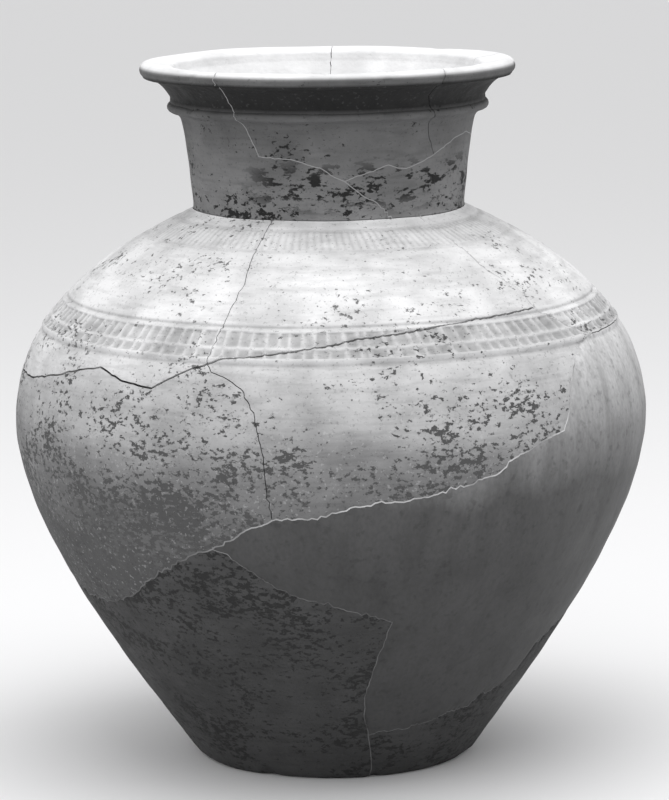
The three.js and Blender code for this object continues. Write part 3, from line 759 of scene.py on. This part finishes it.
def blend(tree, share, first, second):
    mixer = node(tree, "ShaderNodeMix", data_type="RGBA")
    colour_sockets = [s for s in mixer.inputs if s.type == "RGBA"]
    tree.links.new(share, mixer.inputs[0])
    for socket, value in zip(colour_sockets, (first, second)):
        if isinstance(value, (int, float)):
            socket.default_value = (value, value, value * 1.01, 1)
        else:
            tree.links.new(value, socket)
    return [s for s in mixer.outputs if s.type == "RGBA"][0]


def shade(tree, share, colour, amount):
    """The same colour, darker by a share where `share` is 1."""
    factor = spread(tree, share, 0, 1, 1, amount)
    mixer = node(tree, "ShaderNodeVectorMath", operation="MULTIPLY")
    if isinstance(colour, (int, float)):
        mixer.inputs[0].default_value = (colour, colour, colour * 1.01)
    else:
        tree.links.new(colour, mixer.inputs[0])
    tree.links.new(factor, mixer.inputs[1])
    return mixer.outputs[0]


def relief(tree, shader, value, depth, strength=0.6):
    bump = node(tree, "ShaderNodeBump")
    bump.inputs["Strength"].default_value = strength
    bump.inputs["Distance"].default_value = depth
    tree.links.new(value, bump.inputs["Height"])
    tree.links.new(bump.outputs["Normal"], shader.inputs["Normal"])


print("material helpers ready")

# %% [markdown]
# ## Finishes
# The clay is pale on the shoulder, grey and flaking on the neck, and dark with crust on the lower
# body. That fall from light to dark is partly the clay's own tone and partly painted light and
# shade: lighter on the faces turned up to the lamp, darker where the lower body turns away.
# Painting each sherd by itself would leave steps between them, where the real tone runs on.
# So one recipe serves them all: flakes and specks grow denser downwards, and the tone follows the
# height of a point as well as the noise.

# %% Height, and the neck's flakes
def height_of(tree, coords):
    split = node(tree, "ShaderNodeSeparateXYZ")
    tree.links.new(coords, split.inputs[0])
    return split.outputs["Z"]


def neck_flakes(tree, coords, z, flakes):
    """Large black flakes in the lower half of the neck, and a dark strip of painted shade and grime
    under the lip.
    """
    split = node(tree, "ShaderNodeSeparateXYZ")
    tree.links.new(coords, split.inputs[0])
    side = spread(tree, split.outputs["X"], -0.052, -0.03)
    lower = combine(tree, "MULTIPLY", spread(tree, z, 0.318, 0.330), spread(tree, z, 0.352, 0.342))
    large = spread(tree, cloud(tree, coords, 80, 7, (1, 1, 2.4), 0.62), 0.53, 0.56)
    patches = combine(tree, "MULTIPLY", combine(tree, "MULTIPLY", large, lower), side)
    # a dark strip from the ridge up under the lip: painted shade where the lip overhangs, with grime
    under_lip_shade_and_grime = combine(tree, "MULTIPLY", spread(tree, z, 0.3755, 0.379),
                   spread(tree, z, 0.394, 0.3925))
    return combine(tree, "MAXIMUM", combine(tree, "MAXIMUM", flakes, patches), under_lip_shade_and_grime)


print("flakes ready")

# %% Clay
def clay(name, tones, flake_tone, flake_cut, inner=0.5, extra=None):
    """Clay whose tone and share of flakes follow the height. tones lists (height, tone), and
    flake_cut the noise level at two heights above which a flake shows."""
    material, tree, shader = new_material(name)
    coords = node(tree, "ShaderNodeTexCoord").outputs["Object"]
    z = height_of(tree, coords)
    drift = spread(tree, cloud(tree, coords, 16, 5, (1, 1, 1.6)), 0.3, 0.7, -0.013, 0.013)
    moved = node(tree, "ShaderNodeMath", operation="ADD")
    tree.links.new(z, moved.inputs[0])
    tree.links.new(drift, moved.inputs[1])
    # tone by height: partly the clay's own tone, partly painted light on the upward shoulder and
    # painted shade on the lower body as it turns down
    colour = tones[0][1]
    for (low, _), (high, tone) in zip(tones, tones[1:]):
        colour = blend(tree, spread(tree, moved.outputs[0], low, high), colour, tone)
    patches = spread(tree, cloud(tree, coords, 34, 6), 0.38, 0.66)
    colour = shade(tree, patches, colour, 0.74)
    streaks = spread(tree, cloud(tree, coords, 40, 4, (1, 1, 8)), 0.48, 0.72)
    colour = shade(tree, streaks, colour, 0.8)
    fine = combine(tree, "MULTIPLY", cloud(tree, coords, 250, 7, (1, 1, 1.5), 0.65), 0.7)
    group = combine(tree, "MULTIPLY", cloud(tree, coords, 24, 4, (1, 1, 1.8)), 0.4)
    (low, low_cut), (high, high_cut) = flake_cut
    cut = spread(tree, z, low, high, low_cut, high_cut)
    flakes = combine(tree, "SUBTRACT", combine(tree, "ADD", fine, group), cut)
    flakes = spread(tree, flakes, 0.0, 0.02)
    if extra:
        flakes = extra(tree, coords, z, flakes)
    colour = blend(tree, flakes, colour, flake_tone)
    specks = spread(tree, cloud(tree, coords, 520, 3, (1, 1, 1.2), 0.6), 0.6, 0.66, 0, 0.6)
    colour = shade(tree, specks, colour, 0.55)
    grit = spread(tree, cloud(tree, coords, 450, 2), 0.62, 0.68, 0, 0.22)
    colour = blend(tree, grit, colour, tones[-1][1])
    # the bands' cells, cut lines and the strip under the bead are made darker, by dirt and by painted
    # shade
    shade_and_dirt = node(tree, "ShaderNodeAttribute", attribute_name="band_shade_and_dirt")
    shaded_and_soiled = combine(tree, "MULTIPLY", shade_and_dirt.outputs["Fac"],
                     spread(tree, cloud(tree, coords, 120, 4), 0.3, 0.6, 0.45, 0.95))
    colour = shade(tree, shaded_and_soiled, colour, 0.58)
    # the inside and the lip's top take the pale inner tone; on the lip's top this is partly painted
    # light on a face turned up to the lamp
    inside_and_lip_top = node(tree, "ShaderNodeAttribute", attribute_name="inner_skin")
    inner_tone = shade(tree, patches, inner, 0.82)
    colour = blend(tree, inside_and_lip_top.outputs["Fac"], colour, inner_tone)
    tree.links.new(colour, shader.inputs["Base Color"])
    rough = spread(tree, cloud(tree, coords, 90, 3), 0.3, 0.7, 0.66, 0.86)
    tree.links.new(rough, shader.inputs["Roughness"])
    shader.inputs["Specular IOR Level"].default_value = 0.3
    pits = combine(tree, "SUBTRACT", cloud(tree, coords, 260, 5),
                   combine(tree, "MULTIPLY", flakes, 0.3))
    relief(tree, shader, pits, 0.0011, 0.5)
    return material


print("clay ready")

# %% The four clays
# from the shoulder down to the foot the tones fall: partly the clay's own colour, partly painted
# light on the upward shoulder and painted shade where the lower body turns down
finish = {
    "pale_clay": clay("pale_clay", [(0.22, 0.6), (0.25, 0.7), (0.28, 0.78)], 0.16,
                      ((0.25, 0.635), (0.31, 0.66))),
    "neck_clay": clay("neck_clay", [(0.31, 0.26), (0.33, 0.2), (0.36, 0.14), (0.372, 0.12)], 0.012,
                      ((0.32, 0.6), (0.37, 0.66)), 0.78, neck_flakes),
    "mottled_clay": clay("mottled_clay", [(0.10, 0.05), (0.15, 0.11), (0.19, 0.23),
                                          (0.215, 0.44), (0.25, 0.62)],
                         0.075, ((0.13, 0.52), (0.25, 0.635))),
    "dark_clay": clay("dark_clay", [(0.0, 0.052), (0.08, 0.046), (0.15, 0.07)], 0.018,
                      ((0.0, 0.60), (0.15, 0.56))),
}
print("clays", sorted(finish))

# %% [markdown]
# ## Plaster
# A restorer fills a lost area with plaster and tones it with a brush, lighter near the shoulder and
# dark towards the foot; that fall is partly the brushed tone and partly painted shade where the lower
# body turns away from the light. Single strokes could be drawn one by one, but hundreds of them lie
# over each other, and noise stretched upright gives that at once. The thin lines between sherds are
# bare plaster with dust in it, darker where the clay is dark, which low down is painted shade as
# well.

# %% Toned plaster
def toned_plaster(name):
    material, tree, shader = new_material(name)
    coords = node(tree, "ShaderNodeTexCoord").outputs["Object"]
    z = height_of(tree, coords)
    brushed = cloud(tree, coords, 24, 6, (1, 1, 0.3), 0.6)
    drift = spread(tree, brushed, 0.3, 0.7, -0.012, 0.012)
    moved = node(tree, "ShaderNodeMath", operation="ADD")
    tree.links.new(z, moved.inputs[0])
    tree.links.new(drift, moved.inputs[1])
    # darker towards the foot: partly the restorer's brushed tone, partly painted shade on the lower
    # body
    colour = 0.04
    for low, high, tone in ((0.135, 0.175, 0.07), (0.17, 0.205, 0.26), (0.2, 0.25, 0.62)):
        colour = blend(tree, spread(tree, moved.outputs[0], low, high), colour, tone)
    strokes = spread(tree, cloud(tree, coords, 70, 4, (1, 1, 0.12)), 0.45, 0.7)
    colour = shade(tree, strokes, colour, 0.74)
    spots = spread(tree, cloud(tree, coords, 210, 4), 0.56, 0.68)
    colour = shade(tree, spots, colour, 0.7)
    grain = spread(tree, cloud(tree, coords, 480, 3, (1, 1, 0.6)), 0.4, 0.62)
    colour = shade(tree, grain, colour, 0.84)
    tree.links.new(colour, shader.inputs["Base Color"])
    tree.links.new(spread(tree, brushed, 0.3, 0.7, 0.5, 0.7), shader.inputs["Roughness"])
    relief(tree, shader, brushed, 0.0009, 0.4)
    return material


finish["toned_plaster"] = toned_plaster("toned_plaster")
print("toned plaster made")

# %% Plaster for the seams
def filler_material(name):
    material, tree, shader = new_material(name)
    coords = node(tree, "ShaderNodeTexCoord").outputs["Object"]
    dust = spread(tree, cloud(tree, coords, 60, 5), 0.35, 0.65)
    # darker below: partly dust and the plaster's own tone, partly painted shade on the lower body
    rise = spread(tree, height_of(tree, coords), 0.14, 0.175)
    low_tone = blend(tree, dust, 0.06, 0.16)
    high_tone = blend(tree, dust, 0.3, 0.62)
    on_neck = spread(tree, height_of(tree, coords), 0.316, 0.32)
    body_tone = blend(tree, rise, low_tone, high_tone)
    tree.links.new(blend(tree, on_neck, body_tone, 0.28), shader.inputs["Base Color"])
    tree.links.new(spread(tree, dust, 0, 1, 0.8, 0.95), shader.inputs["Roughness"])
    relief(tree, shader, cloud(tree, coords, 400, 3), 0.0006, 0.5)
    return material


finish["seam_plaster"] = filler_material("seam_plaster")
print("finishes", sorted(finish))

# %% [markdown]
# ## Naming the sherds
# A conservator numbers the sherds as they lie on the bench. Loose parts come in no useful order, so
# their own names say nothing. Each sherd is known here by one place on it: the part with a point
# nearest to that place gets the name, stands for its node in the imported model, and rides on the one
# rigid body. Two names on one part would mean that a break didn't cut through, and stop the script.

# %% A place on each sherd
# a turn and a level on the wall, then the finish
SHERDS = [
    ("rim_front", (0, 6.2), "neck_clay"), ("rim_right", (75, 6.2), "neck_clay"),
    ("neck_left", (-60, 5.5), "neck_clay"), ("neck_lower_right", (60, 5.3), "neck_clay"),
    ("neck_back_right", (140, 5.5), "neck_clay"), ("neck_back_left", (220, 5.5), "neck_clay"),
    ("shoulder_front_left", (-60, 4.4), "pale_clay"),
    ("shoulder_front_middle", (10, 4.5), "pale_clay"),
    ("shoulder_front_right", (80, 4.4), "pale_clay"),
    ("shoulder_back_right", (150, 4.4), "pale_clay"),
    ("shoulder_back_left", (220, 4.4), "pale_clay"),
    ("belly_front_left", (-50, 2.1), "mottled_clay"),
    ("belly_front_middle", (20, 2.4), "mottled_clay"),
    ("belly_back_right", (135, 2.1), "mottled_clay"),
    ("belly_back_middle", (180, 2.1), "mottled_clay"),
    ("belly_back_left", (235, 2.1), "mottled_clay"),
    ("lower_front_left", (-50, 1.3), "dark_clay"), ("lower_back_left", (220, 1.3), "dark_clay"),
    ("lower_back_right", (150, 1.3), "dark_clay"), ("foot_front_right", (60, 1.15), "dark_clay"),
    ("plaster_fill", (50, 1.7), "toned_plaster"),
]
# a turn, and a distance from the middle as a share of the floor's edge
FLOOR_SHERDS = [("floor_front", (38, 0.6), "dark_clay"), ("floor_back", (-120, 0.6), "dark_clay")]
print("sherds listed", len(SHERDS) + len(FLOOR_SHERDS))

# %% Find the part nearest to a place
def points_of(mesh):
    flat = np.empty(len(mesh.vertices) * 3)
    mesh.vertices.foreach_get("co", flat)
    return flat.reshape(-1, 3) / MM


cloud_of = {item.name: points_of(item.data) for item in loose}


def part_nearest(target):
    gaps = {name: np.min(np.linalg.norm(points - target, axis=1))
            for name, points in cloud_of.items()}
    return min(gaps, key=gaps.get)


def wall_target(turn_degrees, level):
    outer, inner = in_space(turn_degrees, level)
    return np.array(outer + (inner - outer).normalized() * REACH * MM) / MM


targets = [(name, wall_target(*spot), slot) for name, spot, slot in SHERDS]
for name, (turn_degrees, share), slot in FLOOR_SHERDS:
    angle = math.radians(turn_degrees)
    radius_here = FLOOR_EDGE * share
    under = np.array([radius_here * math.sin(angle), -radius_here * math.cos(angle), 0.0])
    targets.append((name, under, slot))
print("places", len(targets))

# %% Name and finish the sherds
# from this height the lip's top takes the pale inside tone: partly its own pale clay, partly painted
# light on the lip's upward face
PALE_LIP_FROM, PALE_LIP_FADE = 396.5, 2
SHARP_ANGLE = math.radians(50)
taken = {}
for name, target, slot in targets:
    part = bpy.data.objects[part_nearest(target)]
    if part.name in taken:
        raise RuntimeError(name + " and " + taken[part.name] + " are one part")
    taken[part.name] = name
    mesh = part.data
    points = cloud_of[part.name]
    inner = inner_skin(np.hypot(points[:, 0], points[:, 1]), points[:, 2])
    lip = np.clip((points[:, 2] - PALE_LIP_FROM) / PALE_LIP_FADE, 0, 1)
    part_azimuth = np.degrees(np.arctan2(points[:, 0], -points[:, 1]))
    # how much the bands are darkened, by dirt and by painted shade in their recesses
    _, shade_and_dirt, _ = bands(part_azimuth, points[:, 2])
    masks = {"inner_skin": np.maximum(inner, lip), "band_shade_and_dirt": shade_and_dirt * ~inner}
    for layer_name, values in masks.items():
        layer = mesh.attributes.new(layer_name, "FLOAT", "POINT")
        layer.data.foreach_set("value", values.astype(np.float32))
    mesh.materials.clear()
    mesh.materials.append(finish[slot])
    mesh.shade_smooth()
    mesh.set_sharp_from_angle(angle=SHARP_ANGLE)
    piece = as_object(mesh, "sherd_" + name)
    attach(piece, "root")
    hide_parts(name)
print("sherds named", len(taken))

# %% [markdown]
# ## Plaster in the seams
# Where two sherds were joined with plaster, a light line shows between them. It could be painted on
# the edges of the sherds, but it stands in the gap and follows the wall. So a thinner sheet is put
# in each such gap, the sheets are made one, and what they share with the whole jar is the plaster.

# %% Plaster in the seams
LINE_SHARE = 0.86
thin = [as_object(sheet_mesh(rungs, width * LINE_SHARE, "line"), "line")
        for width, rungs in all_rungs if width in (FILLED, FINE)]
joined = as_object(boolean_with(thin[0], thin[1:], "UNION"), "joined")
lines = boolean_with(joined, [jar], "INTERSECT")
lines.materials.clear()
lines.materials.append(finish["seam_plaster"])
piece = as_object(lines, "seam_plaster")
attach(piece, "root")
print("plaster lines", len(thin), "points", len(lines.vertices))

# %% [markdown]
# ## Clearing away
# The whole jar, the sheets and the empty holders have done their work. What stays is the sherds,
# the plaster lines, the floor and the lights.

# %% Clear the tools away
for item in [jar, joined, *cutters, *thin, *loose]:
    bpy.data.objects.remove(item)
